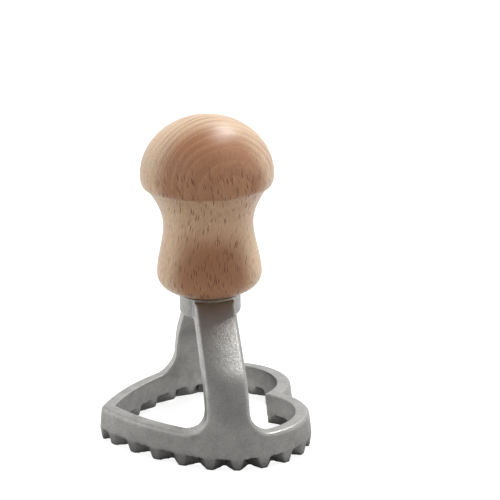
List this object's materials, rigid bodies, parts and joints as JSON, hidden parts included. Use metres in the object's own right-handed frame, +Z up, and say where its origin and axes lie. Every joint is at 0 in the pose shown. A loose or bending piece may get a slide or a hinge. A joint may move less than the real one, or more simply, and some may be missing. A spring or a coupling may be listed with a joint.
{
  "type": "ravioli stamp",
  "caption": "Heart-shaped ravioli stamp: a cast aluminium cutting ring with a zigzag toothed edge, carried by an arch under a turned wooden knob.",
  "frame": {"origin": "middle of the ring's length and width, on the board that the teeth stand on", "axes": "+Z up along the knob, +X from the tip of the heart to its notch, Y along the arch"},
  "size_m": [0.062, 0.0748, 0.098],
  "materials": {
    "cast_metal": "satin, as cast and tumbled",
    "knob_wood": "turned beech, satin lacquer",
    "screw_steel": "zinc plated"
  },
  "bodies": {
    "root": {"stamp_frame": "cast_metal", "knob": "knob_wood", "handle_screw": "screw_steel"}
  },
  "joints": []
}
